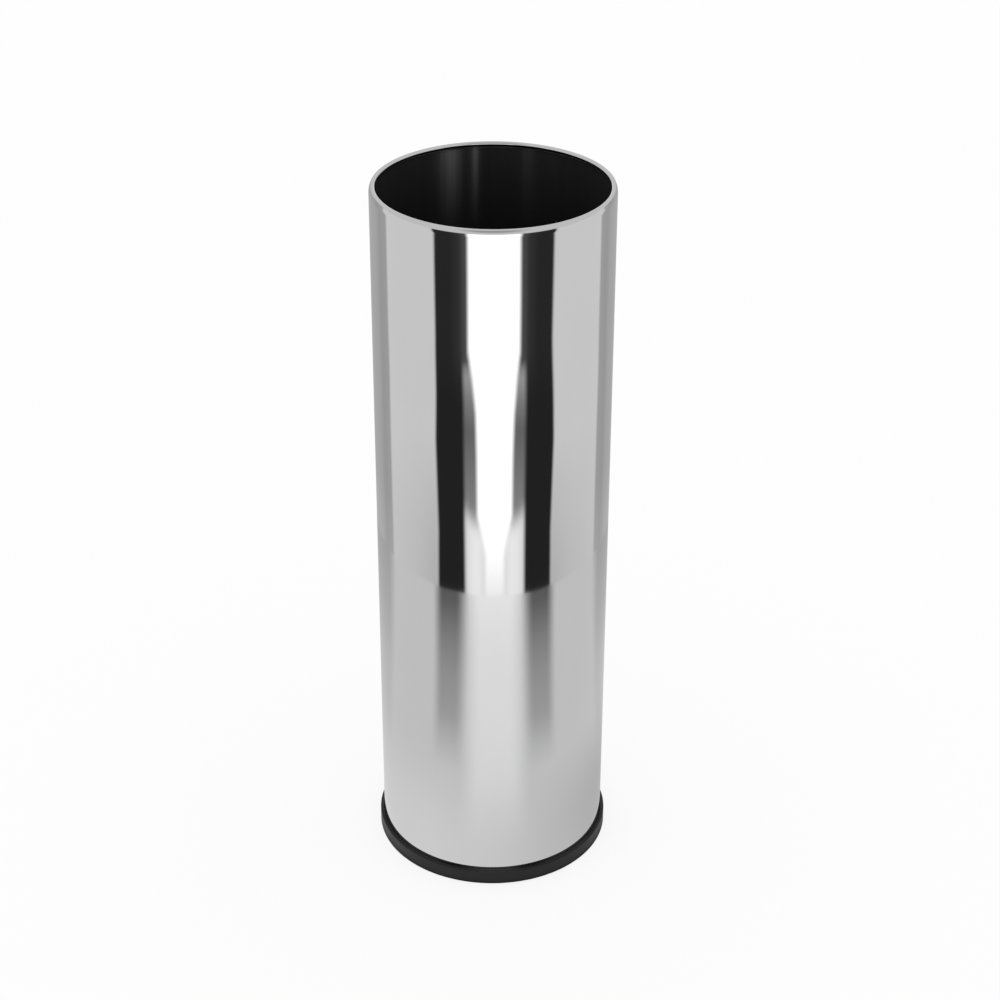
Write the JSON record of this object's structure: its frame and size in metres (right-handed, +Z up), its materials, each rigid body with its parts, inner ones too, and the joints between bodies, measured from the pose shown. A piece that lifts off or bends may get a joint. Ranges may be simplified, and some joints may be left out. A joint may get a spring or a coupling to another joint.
{
  "type": "umbrella stand",
  "caption": "Tall open polished steel cylinder that holds umbrellas upright, with a rolled rim, a dark liner, a lift-out drip tray and a plastic base ring.",
  "frame": {"origin": "on the floor, at the foot of the tube's axis, level with the undersides of the grip pads", "axes": "+Z up along the tube's axis; -Y is the front that the picture shows, and the tube's weld line is at the back, +Y"},
  "size_m": [0.207, 0.207, 0.626],
  "materials": {
    "polished_steel": "mirror-polished stainless steel sheet",
    "liner_black": "black lacquered sheet, half gloss",
    "pan_steel": "mill-finish steel sheet",
    "ring_plastic": "black moulded plastic, fine satin grain",
    "pad_rubber": "dark grey rubber, matt",
    "tray_plastic": "black moulded plastic, satin"
  },
  "bodies": {
    "stand": {"outer_shell": "polished_steel", "inner_liner": "liner_black", "bottom_pan": "pan_steel", "base_ring": "ring_plastic", "grip_pads": "pad_rubber"},
    "tray": {"drip_tray": "tray_plastic"}
  },
  "joints": [
    {"name": "tray_lift", "type": "slide", "parent": "stand", "child": "tray", "axis": [0, 0, 1], "range_m": [0, 0.63]}
  ]
}
